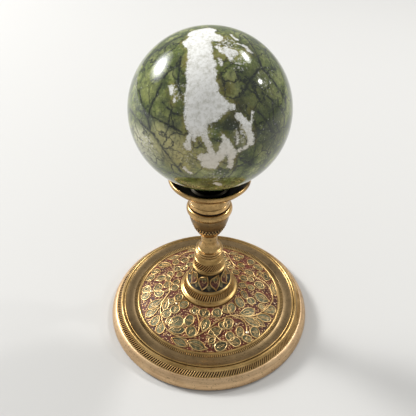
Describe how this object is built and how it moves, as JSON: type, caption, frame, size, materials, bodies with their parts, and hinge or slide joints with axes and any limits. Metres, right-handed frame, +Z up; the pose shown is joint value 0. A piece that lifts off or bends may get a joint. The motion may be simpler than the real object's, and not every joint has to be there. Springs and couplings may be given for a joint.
{
  "type": "divination ball on stand",
  "caption": "Polished green stone ball resting on a turned, engraved and lacquered brass pedestal; the ball turns on its seat and lifts off.",
  "frame": {"origin": "on the table, at the middle of the felt's underside", "axes": "+Z up the stand's axis through the ball's centre; -Y towards the viewer of the picture; +X to the right"},
  "size_m": [0.12, 0.12, 0.18],
  "materials": {
    "stone": "polished, opaque, green with white patches and dark veins",
    "brass": "turned and chased, aged, softly polished",
    "red_lacquer": "worn coloured lacquer filling a chased ground",
    "dark_lacquer": "dark lacquer between raised petals",
    "leather": "dull brown ring",
    "steel": "plain zinc-grey hardware",
    "board": "plain grey-brown board",
    "felt": "dark green felt"
  },
  "bodies": {
    "stand": {"felt_pad": "felt", "backing_board": "board", "rim_hoop": "brass", "base_dome": "brass", "field_lacquer": "red_lacquer", "neck_boss": "brass", "petal_lacquer": "dark_lacquer", "stem_knob": "brass", "vase_cup": "brass", "rest_dish": "brass", "seat_cup": "brass", "tie_rod": "steel", "base_washer": "steel", "spring_washer": "steel", "base_nut": "steel", "top_washer": "steel", "top_nut": "steel"},
    "seat": {"seat_ring": "leather"},
    "ball": {"stone_ball": "stone"}
  },
  "joints": [
    {"name": "ball_turn", "type": "hinge", "parent": "stand", "child": "seat", "pos_m": [0, 0, 0.14], "axis": [0, 0, 1], "continuous": true},
    {"name": "ball_lift", "type": "slide", "parent": "seat", "child": "ball", "axis": [0, 0, 1], "range_m": [0, 0.1]}
  ]
}
